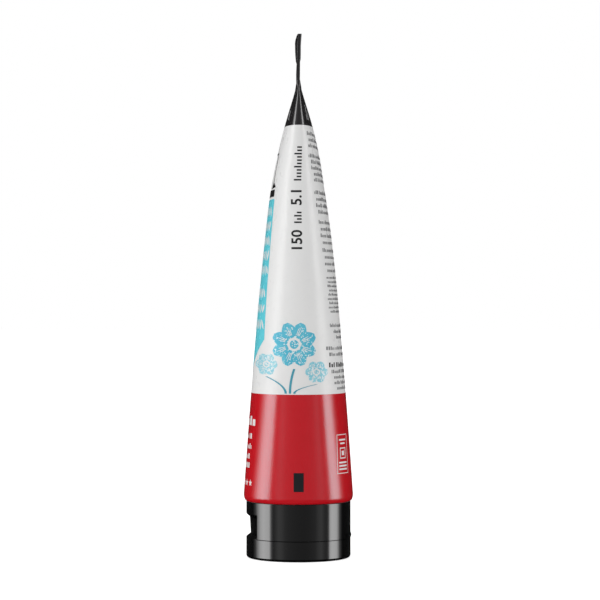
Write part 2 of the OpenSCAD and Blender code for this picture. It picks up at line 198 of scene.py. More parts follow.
def outline_power(z):
    """The same with the flat end, which is nearly as thick at its ends as in its middle."""
    return oval_power(z) + FLAT_END_POWER * np.clip(1 - seal_share(z) / FLAT_END_SHARE, 0, 1)


# The welded band's lower edge slants from the far end of the seal to its near end
WELD_EDGE_Z = WELD_Z + 1.4
WELD_SLANT = 2.6

# Heights up the sleeve, and how far its middle and its side ends stand to the back there
SWAY_Z = [90, 123, 130, 138, 145, 150, 162, 168, 171.5, 175.5, 177.5, 179, 181.5, 184, 188]
SWAY_MIDDLE = [0, -0.13, -0.24, -0.24, -0.05, 0, 0.05, -0.04, -0.1, -0.27, -0.22, -0.06, -0.02,
               -0.36, -0.5]
SWAY_ENDS = [0, -0.13, -0.24, -0.24, -0.05, 0, 0.08, 0.14, 0.02, -0.05, -0.04, 0, 0.12, 0.2, 0.5]

# The seal's far end turns to the front, from this height up
FAR_TWIST = 0.5
TWIST_Z = 179
TWIST_H = 7.3


def smooth_table(z, zs, values):
    """Values between the heights, on a curve with no kinks."""
    zs, values = np.array(zs, float), np.array(values, float)
    slopes = np.gradient(values, zs)
    slopes[0] = 0
    i = np.clip(np.searchsorted(zs, z, side="right") - 1, 0, len(zs) - 2)
    h = zs[i + 1] - zs[i]
    u = np.clip((z - zs[i]) / h, 0, 1)
    low = (1 + 2 * u) * (1 - u) ** 2 * values[i] + u * (1 - u) ** 2 * h * slopes[i]
    high = u * u * (3 - 2 * u) * values[i + 1] - u * u * (1 - u) * h * slopes[i + 1]
    return low + high


def sway(x, z):
    """How far the sleeve's middle plane stands to the back."""
    middle, ends = smooth_table(z, SWAY_Z, SWAY_MIDDLE), smooth_table(z, SWAY_Z, SWAY_ENDS)
    to_end = np.clip(np.abs(x) / half_width(z), 0, 1)
    twist = np.clip(-x / half_width(z), 0, 1) ** 2 * np.clip((z - TWIST_Z) / TWIST_H, 0, 1)
    return ends + (middle - ends) * np.cos(math.pi / 2 * to_end) - FAR_TWIST * twist


def weld_swell(x, z):
    """How much thicker each half is in the welded band."""
    edge_z = WELD_EDGE_Z - WELD_SLANT * x / half_width(z)
    return WELD_SWELL * np.clip((z - edge_z) / WELD_RAMP, 0, 1)


def signed_power(v, p):
    return np.sign(v) * np.abs(v) ** p


def sleeve_point(t, z, out=0.0):
    """Points of the sleeve in direction t at height z, moved out from its outer face."""
    a, n = half_width(z) + out, outline_power(z)
    x = a * signed_power(np.cos(t), 2 / oval_power(z))
    b = thinning(z) + weld_swell(x, z) + out
    y = np.sign(np.sin(t)) * b * np.clip(1 - (np.abs(x) / a) ** n, 0, 1) ** (1 / n)
    return np.stack([x, y + sway(x, z), z + 0 * x], -1)


class Skin:
    """The sleeve's outer face as a table of points, even in s and in z."""

    def __init__(self, around=1600, high=700):
        self.around = around
        self.z = np.linspace(RIM_Z, TUBE_H, high)
        self.s = np.linspace(-GIRTH / 2, GIRTH / 2, around, endpoint=False)
        t = np.linspace(-math.pi, math.pi, 6001)
        self.t = np.empty((high, around))
        for k, z in enumerate(self.z):
            ring = sleeve_point(t, np.full_like(t, z))
            run = np.r_[0, np.cumsum(np.linalg.norm(np.diff(ring, axis=0), axis=1))]
            self.t[k] = np.interp(self.s, (run / run[-1] - 0.5) * GIRTH, t)
        self.p = sleeve_point(self.t, self.z[:, None] + 0 * self.t)
        across = np.roll(self.p, -1, 1) - np.roll(self.p, 1, 1)
        up = np.gradient(self.p, axis=0)
        n = np.cross(across, up)
        self.n = n / np.linalg.norm(n, axis=2, keepdims=True)

    def at(self, s, z, out=0.0):
        """Points at distance s round the sleeve and height z, moved out along the surface normal."""
        s, z = np.broadcast_arrays(np.asarray(s, float), np.asarray(z, float))
        u = ((s + GIRTH / 2) / GIRTH * self.around) % self.around
        i = np.floor(u).astype(int)
        fu = (u - i)[..., None]
        i, j = i % self.around, (i + 1) % self.around
        v = np.clip((z - RIM_Z) / (TUBE_H - RIM_Z), 0, 1) * (len(self.z) - 1)
        k = np.clip(np.floor(v).astype(int), 0, len(self.z) - 2)
        fv = (v - k)[..., None]

        def mix(table):
            low = table[k, i] * (1 - fu) + table[k, j] * fu
            high = table[k + 1, i] * (1 - fu) + table[k + 1, j] * fu
            return low * (1 - fv) + high * fv

        n = mix(self.n)
        return mix(self.p) + out * n / np.linalg.norm(n, axis=-1, keepdims=True)

    def side_s(self, y, z):
        """Distance s at which the +X side lies at y, at height z."""
        s = np.linspace(-GIRTH / 4, GIRTH / 4, 241)
        return float(np.interp(y, self.at(s, z)[:, 1], s))


# Meshes


SHARP_DEG = 35


def add_object(name, points, faces, material, smooth=True):
    """A mesh object from points in millimetres."""
    mesh = bpy.data.meshes.new(name)
    mesh.from_pydata((np.asarray(points, float) * MM).tolist(), [], [list(map(int, f)) for f in faces])
    mesh.validate()
    if smooth:
        mesh.shade_smooth()
        mesh.set_sharp_from_angle(angle=math.radians(SHARP_DEG))
    else:
        mesh.shade_flat()
    obj = bpy.data.objects.new(name, mesh)
    bpy.context.scene.collection.objects.link(obj)
    if material:
        mesh.materials.append(material)
    return obj


def ring_faces(rings, around, loops=False):
    """Quads between rings of points, one ring after the other."""
    i, j = np.meshgrid(np.arange(rings if loops else rings - 1), np.arange(around), indexing="ij")
    i, j = i.ravel(), j.ravel()
    up, k = (i + 1) % rings, (j + 1) % around
    return np.stack([i * around + j, i * around + k, up * around + k, up * around + j], -1)


def fold_faces(start, around, down=False):
    """Closes a flat ring by joining its two long sides."""
    half = around // 2
    faces = []
    for i in range(half):
        a, b, c, d = i, i + 1, (around - i - 1) % around, (around - i) % around
        face = [start + v for v in dict.fromkeys((a, b, c, d))]
        faces.append(face[::-1] if down else face)
    return faces


COLUMNS = 320


def columns():
    """Places round the sleeve, closer together at the two side folds."""
    u = np.arange(COLUMNS) / COLUMNS
    return GIRTH * (u - 0.7 * np.sin(4 * math.pi * u) / (4 * math.pi))


def heights(*stretches):
    """Heights over stretches of (from, to, step), each starting where the last one ended."""
    zs = [np.linspace(a, b, max(2, round((b - a) / step) + 1)) for a, b, step in stretches]
    return np.concatenate([zs[0]] + [z[1:] for z in zs[1:]])


def sleeve_shell(skin, material):
    """The sleeve with its wall: down the inside, up the outside, closed flat at the seal."""
    s = columns()
    outside = [skin.at(s, z) for z in heights((RIM_Z, ROUND_Z, 0.24), (ROUND_Z, 148, 1.25),
                                              (148, 168, 0.8), (168, TUBE_H, 0.4))]
    inside = []
    wrapped = np.where(s > GIRTH / 2, s - GIRTH, s)
    for z in heights((RIM_Z, ROUND_Z, 0.8), (ROUND_Z, SEAL_Z, 5))[::-1]:
        k = int(round((z - RIM_Z) / (TUBE_H - RIM_Z) * (len(skin.z) - 1)))
        t = np.interp(wrapped, skin.s, skin.t[k])
        inside.append(sleeve_point(t, np.full_like(t, z), -SLEEVE_WALL))
    n = len(s)
    rings = inside + outside
    faces = ring_faces(len(rings), n).tolist()
    faces += fold_faces((len(rings) - 1) * n, n) + fold_faces(0, n, down=True)
    return add_object("sleeve_shell", np.concatenate(rings), faces, material)


# How far a band's faces stand off the sleeve, how thick the other films are, and how far the tops
# of those stand off, so that each lies clear of what it is printed on
BAND_LOW, BAND_HIGH = 0.008, 0.03
FILM_T = 0.02
ON_SLEEVE = 0.05
ON_BAND = 0.06
ON_FLOWER = 0.065
ON_TOP = 0.07
ON_PANEL = 0.075


def print_band(skin, name, zs, material, dip=0.0):
    """Print right round the sleeve, as a thin closed film whose lower edge dips at the folds."""
    s = columns()
    drop = dip * np.cos(2 * math.pi * s / GIRTH) ** 2
    levels = [z - drop * max(0.0, 1 - (z - zs[0]) / (8 * dip)) if dip else z for z in zs]
    rings = [skin.at(s, z, BAND_LOW) for z in levels[::-1]]
    rings += [skin.at(s, z, BAND_HIGH) for z in levels]
    return add_object(name, np.concatenate(rings), ring_faces(len(rings), len(s), loops=True), material)


# Flat print shapes


def rect(s0, s1, z0, z1):
    return [(s0, z0), (s1, z0), (s1, z1), (s0, z1)]


def bar(s, z, w, h):
    """A bar with round ends, about its middle."""
    r = min(w, h) / 2
    turns = [math.radians(a) for a in range(-90, 91, 30)]
    if w >= h:
        right = [(s + w / 2 - r + r * math.cos(a), z + r * math.sin(a)) for a in turns]
        return right + [(2 * s - x, 2 * z - y) for x, y in right]
    top = [(s - r * math.sin(a), z + h / 2 - r + r * math.cos(a)) for a in turns]
    return top + [(2 * s - x, 2 * z - y) for x, y in top]


def disc(s, z, r, count=20):
    return [(s + r * math.cos(2 * math.pi * k / count), z + r * math.sin(2 * math.pi * k / count))
            for k in range(count)]


STROKE_STEPS = 8
LENS_STEPS = 10


def stroke(s0, z0, s1, z1, w0, w1):
    """A straight line whose width goes from w0 to w1."""
    dx, dz = s1 - s0, z1 - z0
    length = math.hypot(dx, dz)
    nx, nz = -dz / length, dx / length
    left, right = [], []
    for k in range(STROKE_STEPS + 1):
        u = k / STROKE_STEPS
        half = (w0 + (w1 - w0) * u) / 2
        x, y = s0 + dx * u, z0 + dz * u
        left.append((x + nx * half, y + nz * half))
        right.append((x - nx * half, y - nz * half))
    return right + left[::-1]


def lens(s, z, angle, length, width):
    """A narrow cut with pointed ends that grows from (s, z) in a direction in degrees."""
    ux, uz = math.cos(math.radians(angle)), math.sin(math.radians(angle))
    left, right = [], []
    for k in range(LENS_STEPS + 1):
        v = k / LENS_STEPS
        half = width / 2 * math.sin(math.pi * v) ** 0.8 if 0 < k < LENS_STEPS else 0.02
        x, y = s + ux * v * length, z + uz * v * length
        left.append((x - uz * half, y + ux * half))
        right.append((x + uz * half, y - ux * half))
    return right + left[::-1]


def frame_box(s0, s1, z0, z1, line):
    """The four sides of an outlined box, mitred at the corners."""
    o = rect(s0, s1, z0, z1)
    i = rect(s0 + line, s1 - line, z0 + line, z1 - line)
    return [[o[k], o[(k + 1) % 4], i[(k + 1) % 4], i[k]] for k in range(4)]


NUMERAL_H = 5.2
NUMERAL_WEIGHT = 0.02


def numerals(text, s, z):
    """Plain numerals that read upwards, with their foot at the right: flat points and faces."""
    curve = bpy.data.curves.new("numerals", "FONT")
    curve.body, curve.size, curve.resolution_u = text, NUMERAL_H, 5
    curve.offset = NUMERAL_WEIGHT * NUMERAL_H
    obj = bpy.data.objects.new("numerals", curve)
    bpy.context.scene.collection.objects.link(obj)
    graph = bpy.context.evaluated_depsgraph_get()
    mesh = bpy.data.meshes.new_from_object(obj.evaluated_get(graph))
    points = [(s - v.co.y, z + v.co.x) for v in mesh.vertices]
    faces = [list(p.vertices) for p in mesh.polygons]
    bpy.data.objects.remove(obj)
    bpy.data.curves.remove(curve)
    bpy.data.meshes.remove(mesh)
    return points, faces


def mirrored(shapes):
    """The same shapes on the -X side."""
    return [[(FAR_S - s, z) for s, z in shape][::-1] for shape in shapes]


CUT_STEP_Z = 3.0


def print_shapes(skin, name, shapes, material, high, meshes=(), step_s=1.0):
    """Lays flat shapes on the sleeve as one thin closed film, cut up so that it can bend."""
    low = high - FILM_T
    bm = bmesh.new()
    for shape in shapes:
        bm.faces.new([bm.verts.new((s, z, 0)) for s, z in shape])
    for points, faces in meshes:
        vs = [bm.verts.new((s, z, 0)) for s, z in points]
        for f in faces:
            bm.faces.new([vs[k] for k in f])
    bmesh.ops.remove_doubles(bm, verts=bm.verts[:], dist=1e-5)
    bm.normal_update()
    flipped = [f for f in bm.faces if f.normal.z < 0]
    bmesh.ops.reverse_faces(bm, faces=flipped)
    span = np.array([v.co[:2] for v in bm.verts])
    for axis, step in ((0, step_s), (1, CUT_STEP_Z)):
        first, last = span[:, axis].min() / step, span[:, axis].max() / step
        for k in range(math.ceil(first), math.floor(last) + 1):
            co, no = [0, 0, 0], [0, 0, 0]
            co[axis], no[axis] = k * step, 1
            bmesh.ops.bisect_plane(bm, geom=bm.verts[:] + bm.edges[:] + bm.faces[:],
                                   plane_co=co, plane_no=no, dist=1e-4)
    bmesh.ops.triangulate(bm, faces=[f for f in bm.faces if len(f.verts) > 4])
    bm.verts.index_update()
    flat = np.array([v.co[:2] for v in bm.verts])
    top = [[v.index for v in f.verts] for f in bm.faces]
    count = len(flat)
    sides = []
    for e in bm.edges:
        if len(e.link_faces) == 1:
            loop = next(l for l in e.link_loops)
            a, b = loop.vert.index, loop.link_loop_next.vert.index
            sides.append([b, a, a + count, b + count])
    bm.free()
    points = np.concatenate([skin.at(flat[:, 0], flat[:, 1], out) for out in (high, low)])
    faces = top + [[v + count for v in f][::-1] for f in top] + sides
    return add_object(name, points, faces, material)


# Turned cap pieces


ROUND_STEPS = 4
TURNED_SHARP_DEG = 32


def ease(u):
    """From 0 to 1 without kinks."""
    u = min(1.0, max(0.0, u))
    return u * u * (3 - 2 * u)


def within(angle, direction, half_angle, soft=1.2):
    """1 inside a sector round the cap, 0 outside it, with a soft change between."""
    off = abs((angle - direction + 180) % 360 - 180)
    return ease((half_angle - off) / soft + 0.5)


def turn_angles():
    """Directions round the cap, close together at the ends of the recess and of the hinge."""
    ends = [d + sign * half for d, half in ((FRONT, RECESS_HALF_ANGLE), (FRONT, LIP_HALF_ANGLE),
                                            (BACK, NOTCH_HALF_ANGLE), (BACK, HINGE_HALF_ANGLE))
            for sign in (-1, 1)]
    fine = [e + 0.15 * k for e in ends for k in range(-6, 7)]
    coarse = [1.5 * k for k in range(240)]
    kept = []
    for a in sorted(set(round(a % 360, 3) for a in fine + coarse)):
        if not kept or a - kept[-1] > 0.1:
            kept.append(a)
    return kept


def rounded(corners):
    """Points of a profile, with each corner (r, z, radius) rounded."""
    points = []
    for k, (x, y, radius) in enumerate(corners):
        p = np.array([x, y], float)
        if radius <= 0:
            points += [p] * (ROUND_STEPS + 1)
            continue
        a = np.array(corners[k - 1][:2], float)
        b = np.array(corners[(k + 1) % len(corners)][:2], float)
        da, db = a - p, b - p
        la, lb = np.linalg.norm(da), np.linalg.norm(db)
        if la < 1e-6 or lb < 1e-6:
            points += [p] * (ROUND_STEPS + 1)
            continue
        cut = min(radius, 0.48 * la, 0.48 * lb)
        pa, pb = p + da / la * cut, p + db / lb * cut
        for i in range(ROUND_STEPS + 1):
            u = i / ROUND_STEPS
            points.append((1 - u) ** 2 * pa + 2 * u * (1 - u) * p + u * u * pb)
    return np.array(points)


def turned(name, corners_at, material, closed, angles, whole=True):
    """A mesh turned from a profile that may change with the direction."""
    rows = [rounded(corners_at(a)) for a in angles]
    n = len(rows[0])
    points = []
    for a, row in zip(angles, rows):
        c, s = math.cos(math.radians(a)), math.sin(math.radians(a))
        points += [(r * c, r * s, z) for r, z in row]
    faces = []
    count = len(angles)
    for i in range(count if whole else count - 1):
        k = (i + 1) % count
        for j in range(n if closed else n - 1):
            m = (j + 1) % n
            faces.append([i * n + j, k * n + j, k * n + m, i * n + m])
    if not whole:
        faces.append(list(range(n)))
        faces.append([(count - 1) * n + j for j in range(n - 1, -1, -1)])
    obj = add_object(name, points, faces, material, smooth=False)
    bm = bmesh.new()
    bm.from_mesh(obj.data)
    bmesh.ops.remove_doubles(bm, verts=bm.verts[:], dist=2e-6)
    bmesh.ops.dissolve_degenerate(bm, edges=bm.edges[:], dist=1e-7)
    bm.to_mesh(obj.data)
    bm.free()
    obj.data.shade_smooth()
    obj.data.set_sharp_from_angle(angle=math.radians(TURNED_SHARP_DEG))
    weigh = obj.modifiers.new("even_shading", "WEIGHTED_NORMAL")
    weigh.keep_sharp = True
    weigh.weight = 80
    return obj


def base_corners(angle):
    """The fixed half of the cap: thumb recess in front, hinge notch and strap pocket behind."""
    recess = within(angle, FRONT, RECESS_HALF_ANGLE)
    notch = within(angle, BACK, NOTCH_HALF_ANGLE)

    def wall(z):
        depth = CAP_R - RECESS_R - RECESS_LEAN * (z - LEDGE_Z) / (RECESS_Z - LEDGE_Z)
        return CAP_R - recess * depth

    low_z = LEDGE_Z + notch * (NOTCH_Z - LEDGE_Z)
    pocket_top = HINGE_Z + POCKET_REACH
    pocket_r = wall(low_z) - notch * (CAP_R - POCKET_R)
    step_r = RECESS_R + (NOTCH_R - RECESS_R) * (1 - recess)
    back_r = WALL_R + recess * (BACKING_R - WALL_R)
    bead_z = DECK_Z + COLLAR_H / 2
    return [
        (ORIFICE_R, SPOUT_Z, 0.25),
        (SPOUT_R, SPOUT_Z, 0.5),
        (SPOUT_R, LAND_Z - 0.6, 0.8),
        (SPOUT_ROOT_R, LAND_Z, 0.5),
        (RECESS_R, LAND_Z, 0.12),
        (RECESS_R, LEDGE_Z, 0.08),
        (step_r, LEDGE_Z, 0.0),
        (step_r, low_z, 0.0),
        (pocket_r, low_z, 0.12),
        (pocket_r, pocket_top, 0.06),
        (wall(pocket_top), pocket_top, 0.1),
        (wall(RECESS_Z), RECESS_Z, 0.5),
        (CAP_R, RECESS_TOP_Z, 0.35),
        (CAP_R, CAP_H, 0.3),
        (WALL_R, CAP_H, 0.2),
        (WALL_R, BACKING_Z, 0.1),
        (back_r, BACKING_Z - CAP_WALL, 0.1),
        (back_r, STEP_Z, 0.1),
        (BACKING_R, STEP_Z, 0.1),
        (BACKING_R, DECK_Z, 0.3),
        (COLLAR_R + COLLAR_WALL, DECK_Z, 0.3),
        (COLLAR_R + COLLAR_WALL, DECK_Z + COLLAR_H, 0.2),
        (COLLAR_R, DECK_Z + COLLAR_H, 0.4),
        (COLLAR_R, bead_z + BEAD_H / 2, 0.1),
        (COLLAR_R + BEAD, bead_z, 0.1),
        (COLLAR_R, bead_z - BEAD_H / 2, 0.1),
        (COLLAR_R, DECK_Z, 0.1),
        (ORIFICE_R, DECK_Z, 0.2),
    ]


def lid_corners(angle):
    """The flip-top lid: thumb lip in front, ear and strap pocket behind, plug in the middle."""
    lip = within(angle, FRONT, LIP_HALF_ANGLE)
    ear = within(angle, BACK, HINGE_HALF_ANGLE)
    shelf_z = LID_H + ear * (HINGE_Z - POCKET_REACH - LID_H)
    outer_r = CAP_R - ear * (CAP_R - POCKET_R)
    rise = ear * (EAR_Z - LID_H)
    inner_r = WALL_R + lip * (LIP_R - WALL_R)
    edge = [(CAP_R - LID_EDGE_R * (1 - math.sin(t)), LID_EDGE_R * (1 - math.cos(t)), 0.0)
            for t in (math.pi / 2 * k / 8 for k in range(9))]
    return [(0.0, 0.0, 0.0)] + edge + [
        (CAP_R, LID_H - CAP_WALL, 0.0),
        (CAP_R, shelf_z - 0.02, 0.08 * ear),
        (outer_r, shelf_z, 0.04 * ear),
        (outer_r, LID_H + rise + LIP_OUT_H * lip, 0.12),
        (inner_r, LID_H + rise + LIP_IN_H * lip, 0.15),
        (inner_r, LID_H - CAP_WALL / 2, 0.0),
        (WALL_R, LID_H - CAP_WALL, 0.0),
        (WALL_R, LID_END + CAP_WALL, 0.4),
        (WALL_R - CAP_WALL, LID_END, 0.4),
        (POST_R, LID_END, 0.4),
        (POST_R, SPOUT_Z - LID_GAP, 0.15),
        (PLUG_R, SPOUT_Z - LID_GAP, 0.1),
        (PLUG_R, SPOUT_Z, 0.1),
        (PLUG_TIP_R, PLUG_Z, 0.25),
        (0.0, PLUG_Z, 0.0),
    ]


STRAP_FADE = 8.0
STRAP_ROWS = 14


def strap_corners(angle):
    """The bending strap: a thin web that stands out a little along the hinge line."""
    fade = within(angle, BACK, HINGE_HALF_ANGLE - STRAP_FADE / 2, STRAP_FADE)
    shares = [k / STRAP_ROWS for k in range(STRAP_ROWS + 1)]
    bulge = [STRAP_BULGE * fade * math.sin(math.pi * u) ** 0.7 for u in shares]
    zs = [HINGE_Z - STRAP_REACH + 2 * STRAP_REACH * u for u in shares]
    outside = [(CAP_R + b, z, 0.0) for b, z in zip(bulge, zs)]
    inside = [(CAP_R - STRAP_T, z, 0.0) for z in zs[::-1]]
    return outside + inside


# Materials


class Finish:
    """A node material around one Principled shader."""

    def __init__(self, name, **sockets):
        self.material = bpy.data.materials.new(name)
        self.material.use_nodes = True
        self.tree = self.material.node_tree
        self.tree.nodes.clear()
        self.shader = self.add("ShaderNodeBsdfPrincipled")
        output = self.add("ShaderNodeOutputMaterial")
        self.link(self.shader.outputs[0], output.inputs[0])
        self.place = self.add("ShaderNodeTexCoord").outputs["Object"]
        for socket, value in sockets.items():
            self.shader.inputs[socket.replace("_", " ")].default_value = value

    def add(self, kind, **settings):
        node = self.tree.nodes.new(kind)
        for key, value in settings.items():
            setattr(node, key, value)
        return node

    def link(self, a, b):
        self.tree.links.new(a, b)

    def noise(self, scale, detail, roughness=0.55):
        node = self.add("ShaderNodeTexNoise")
        node.inputs["Scale"].default_value = scale
        node.inputs["Detail"].default_value = detail
        node.inputs["Roughness"].default_value = roughness
        self.link(self.place, node.inputs["Vector"])
        return node.outputs[0]

    def span(self, value, low, high, from_low=0.3, from_high=0.7):
        """The value spread between low and high."""
        node = self.add("ShaderNodeMapRange")
        numbers = {"From Min": from_low, "From Max": from_high, "To Min": low, "To Max": high}
        for socket, number in numbers.items():
            node.inputs[socket].default_value = number
        self.link(value, node.inputs["Value"])
        return node.outputs[0]

    def colours(self, factor, first, second):
        """A colour between two, by the factor."""
        node = self.add("ShaderNodeMix", data_type="RGBA")
        self.link(factor, node.inputs[0])
        for socket, colour in ((6, first), (7, second)):
            if isinstance(colour, tuple):
                node.inputs[socket].default_value = (*colour, 1)
            else:
                self.link(colour, node.inputs[socket])
        return node.outputs[2]

    def base(self, colour):
        self.link(colour, self.shader.inputs["Base Color"])
        return self

    def gloss(self, low, high, scale):
        """Roughness that drifts between two values."""
        self.link(self.span(self.noise(scale, 4.0), low, high), self.shader.inputs["Roughness"])
        return self

    def relief(self, *layers):
        """Bump from layers of (scale, depth in mm)."""
        normal = None
        for scale, depth in layers:
            bump = self.add("ShaderNodeBump")
            bump.inputs["Strength"].default_value = 1.0
            bump.inputs["Distance"].default_value = depth * MM
            self.link(self.noise(scale, 2.0), bump.inputs["Height"])
            if normal:
                self.link(normal, bump.inputs["Normal"])
            normal = bump.outputs[0]
        self.link(normal, self.shader.inputs["Normal"])
        return self


def plain_finish(name, light, dark, gloss, scale=120, relief=0.0015, **sockets):
    """Plastic or print: a colour that drifts slightly, a gloss that varies and a faint waviness."""
    finish = Finish(name, **sockets)
    finish.base(finish.colours(finish.span(finish.noise(scale, 4.0), 0, 1), light, dark))
    finish.gloss(gloss[0], gloss[1], scale * 2.5)
    finish.relief((60, relief * 3), (900, relief * 0.12))
    return finish


def speckled_finish(name, light, dark, speck, cover, gloss, **sockets):
    """Print from a rough block: small bare specks where the colour didn't take."""
    finish = Finish(name, **sockets)
    tone = finish.colours(finish.span(finish.noise(260, 3.0), 0, 1), light, dark)
    specks = finish.span(finish.noise(1500, 1.0, 0.4), 0, 1, cover, cover + 0.05)
    finish.base(finish.colours(specks, tone, speck))
    finish.gloss(gloss[0], gloss[1], 300)
    finish.relief((60, 0.0018), (900, 0.0002))
    return finish


def make_finishes():
    gloss = dict(IOR=1.45)
    print_gloss = dict(Specular_IOR_Level=0.14, **gloss)
    made = {
        "white": plain_finish("white_lacquered_plastic", (0.8, 0.8, 0.795), (0.785, 0.785, 0.78),
                              (0.26, 0.32), relief=0.0006, **print_gloss),
        "red": plain_finish("red_glossy_print", (0.57, 0.0035, 0.011), (0.54, 0.003, 0.009),
                            (0.17, 0.21), Specular_Tint=(0.34, 1.08, 1.15, 1.0), **gloss),
        "black": plain_finish("black_glossy_print", (0.017, 0.0155, 0.0165), (0.014, 0.013, 0.014),
                              (0.14, 0.2), relief=0.0008, **gloss),
        "mark": plain_finish("black_eye_mark", (0.017, 0.018, 0.021), (0.014, 0.015, 0.018),
                             (0.3, 0.4), Specular_IOR_Level=0.2, **gloss),
        "cyan": plain_finish("cyan_print", (0.13, 0.64, 0.74), (0.12, 0.6, 0.7), (0.22, 0.3),
                             **print_gloss),
        "leaf": speckled_finish("cyan_block_print", (0.14, 0.54, 0.68), (0.08, 0.44, 0.6),
                                (0.68, 0.82, 0.84), 0.6, (0.24, 0.32), **print_gloss),
        "pale": speckled_finish("pale_block_print", (0.33, 0.66, 0.74), (0.22, 0.56, 0.68),
                                (0.72, 0.8, 0.82), 0.54, (0.24, 0.32), **print_gloss),
        "grey": plain_finish("grey_fine_print", (0.26, 0.26, 0.265), (0.2, 0.2, 0.205),
                             (0.26, 0.32), **print_gloss),
        "faint": plain_finish("faint_light_print", (0.42, 0.42, 0.42), (0.3, 0.3, 0.3),
                              (0.2, 0.28), **print_gloss),
        "dark": plain_finish("dark_print", (0.03, 0.03, 0.032), (0.025, 0.025, 0.027),
                             (0.26, 0.32), **print_gloss),
        "stem": plain_finish("stem_print", (0.08, 0.36, 0.46), (0.06, 0.3, 0.4), (0.26, 0.32),
                             **print_gloss),
        "light": plain_finish("white_print", (0.82, 0.8, 0.79), (0.78, 0.76, 0.75), (0.2, 0.28),
                              **print_gloss),
        "cap": plain_finish("black_moulded_cap", (0.0032, 0.0032, 0.0034), (0.0024, 0.0024, 0.0026),
                            (0.055, 0.085), scale=90, relief=0.0008, **gloss),
        "head": plain_finish("natural_moulded_plastic", (0.72, 0.7, 0.64), (0.66, 0.64, 0.58),
                             (0.35, 0.5), **gloss),
        "ink": plain_finish("wet_red_ink", (0.42, 0.008, 0.014), (0.36, 0.006, 0.01), (0.08, 0.16),
                            relief=0.02, **gloss),
    }
    return {key: finish.material for key, finish in made.items()}


# Print layout


def glyphs(rng, s0, s1, z, h, wide=0.62):
    """One line of small upright marks from s0 to s1, spaced like lettering but plain bars."""
    marks, s = [], s0
    while s < s1 - 0.3 * h:
        for _ in range(rng.integers(3, 8)):
            w = min(h * wide * rng.uniform(0.5, 1.3), s1 - s)
            if w < 0.2 * h:
                break
            tall = h * rng.choice([0.68, 0.68, 1.0])
            marks.append(rect(s, s + w, z - h / 2, z - h / 2 + tall))
            s += w + 0.3 * h
        s += 0.45 * h
    return marks


def centred_glyphs(rng, middle, rows, h):
    """Lines of marks about a middle, from (height, half the width) of each."""
    return [mark for z, half in rows for mark in glyphs(rng, middle - half, middle + half, z, h)]


def rows_between(z0, z1, half0, half1, count):
    """Evenly spaced lines, each with a slightly different width."""
    shares = [k / max(1, count - 1) for k in range(count)]
    uneven = (0, 0.9, 0.3, 1.4, 0.6)
    return [(z0 + (z1 - z0) * u, half0 + (half1 - half0) * u - uneven[k % 5])
            for k, u in enumerate(shares)]


TICK_PITCH = 1.15
TICK_LENGTHS = (2.6, 1.612)
TICK_LINE = 0.55


def ticks(s, z0, z1, every):
    """Short lines like those of a scale, the ones in between shorter."""
    made = []
    for k in range(int((z1 - z0) / TICK_PITCH) + 1):
        length, z = TICK_LENGTHS[k % every > 0], z0 + k * TICK_PITCH
        made.append(rect(s - length, s, z, z + TICK_LINE))
    return made


PETAL_START = 0.3
PETAL_TIP_TURN = 20
PETAL_STEPS = 10
STEM_HALF_W = 0.4


def petal(middle, angle, r, half_w):
    """A petal round a flower's middle, blunt at both ends, as places (y, z)."""
    ux, uz = math.cos(math.radians(angle)), math.sin(math.radians(angle))
    left, right = [], []
    for k in range(PETAL_STEPS + 1):
        v = k / PETAL_STEPS
        half = half_w * math.sin(math.radians(PETAL_TIP_TURN + (180 - 2 * PETAL_TIP_TURN) * v))
        along = r * (PETAL_START + (1 - PETAL_START) * v)
        right.append((middle[0] + along * ux + half * uz, middle[1] + along * uz - half * ux))
        left.append((middle[0] + along * ux - half * uz, middle[1] + along * uz + half * ux))
    return right + left[::-1]


def flower(middle, r, count, foot_y):
    """A plain round flower on the +X side: petals and heart, cuts in them, and its stem."""
    petals, cuts = [disc(middle[0], middle[1], 0.2 * r)], []
    half_w = 0.8 * r * math.sin(math.pi / count)
    for k in range(count):
        angle = 360 * (k + 0.5) / count - 90
        petals.append(petal(middle, angle, r, half_w))
        for side, reach in ((-7, 0.72), (0, 0.84), (7, 0.72)):
            ux, uz = math.cos(math.radians(angle + side)), math.sin(math.radians(angle + side))
            foot = middle[0] + 0.42 * r * ux, middle[1] + 0.42 * r * uz
            tip = middle[0] + reach * r * ux, middle[1] + reach * r * uz
            cuts.append(stroke(*foot, *tip, 0.035 * r, 0.015 * r))
    seeds = [2 * math.pi * k / 5 for k in range(5)]
    cuts += [disc(middle[0] + 0.1 * r * math.cos(a), middle[1] + 0.1 * r * math.sin(a), 0.025 * r, 8)
             for a in seeds]
    z0, z1 = BAND_Z + 0.4, middle[1] - 1.1 * r
    bends = [(foot_y + (middle[0] - foot_y) * (k / 8) ** 2, z0 + (z1 - z0) * k / 8) for k in range(9)]
    stem = [(y + STEM_HALF_W, z) for y, z in bends] + [(y - STEM_HALF_W, z) for y, z in bends[::-1]]
    return petals, cuts, stem


def gouges(rng, s0, s1, z0, z1, pitch_s, pitch_z):
    """Rows of cuts as a hand gouge leaves them, tilted to alternate sides."""
    cuts = []
    rows = int((z1 - z0) / pitch_z)
    for k in range(rows):
        z = z0 + (k + 0.5) * (z1 - z0) / rows
        count = int((s1 - s0) / pitch_s)
        for i in range(count):
            s = s0 + (i + 0.5) * (s1 - s0) / count
            tilt = (58 if k % 2 else 122) + rng.uniform(-7, 7)
            length, width = rng.uniform(3.6, 4.6), rng.uniform(1.1, 1.5)
            a = math.radians(tilt)
            foot_s, foot_z = s - length / 2 * math.cos(a), z - length / 2 * math.sin(a)
            cuts.append(lens(foot_s, foot_z, tilt, length, width))
    return cuts


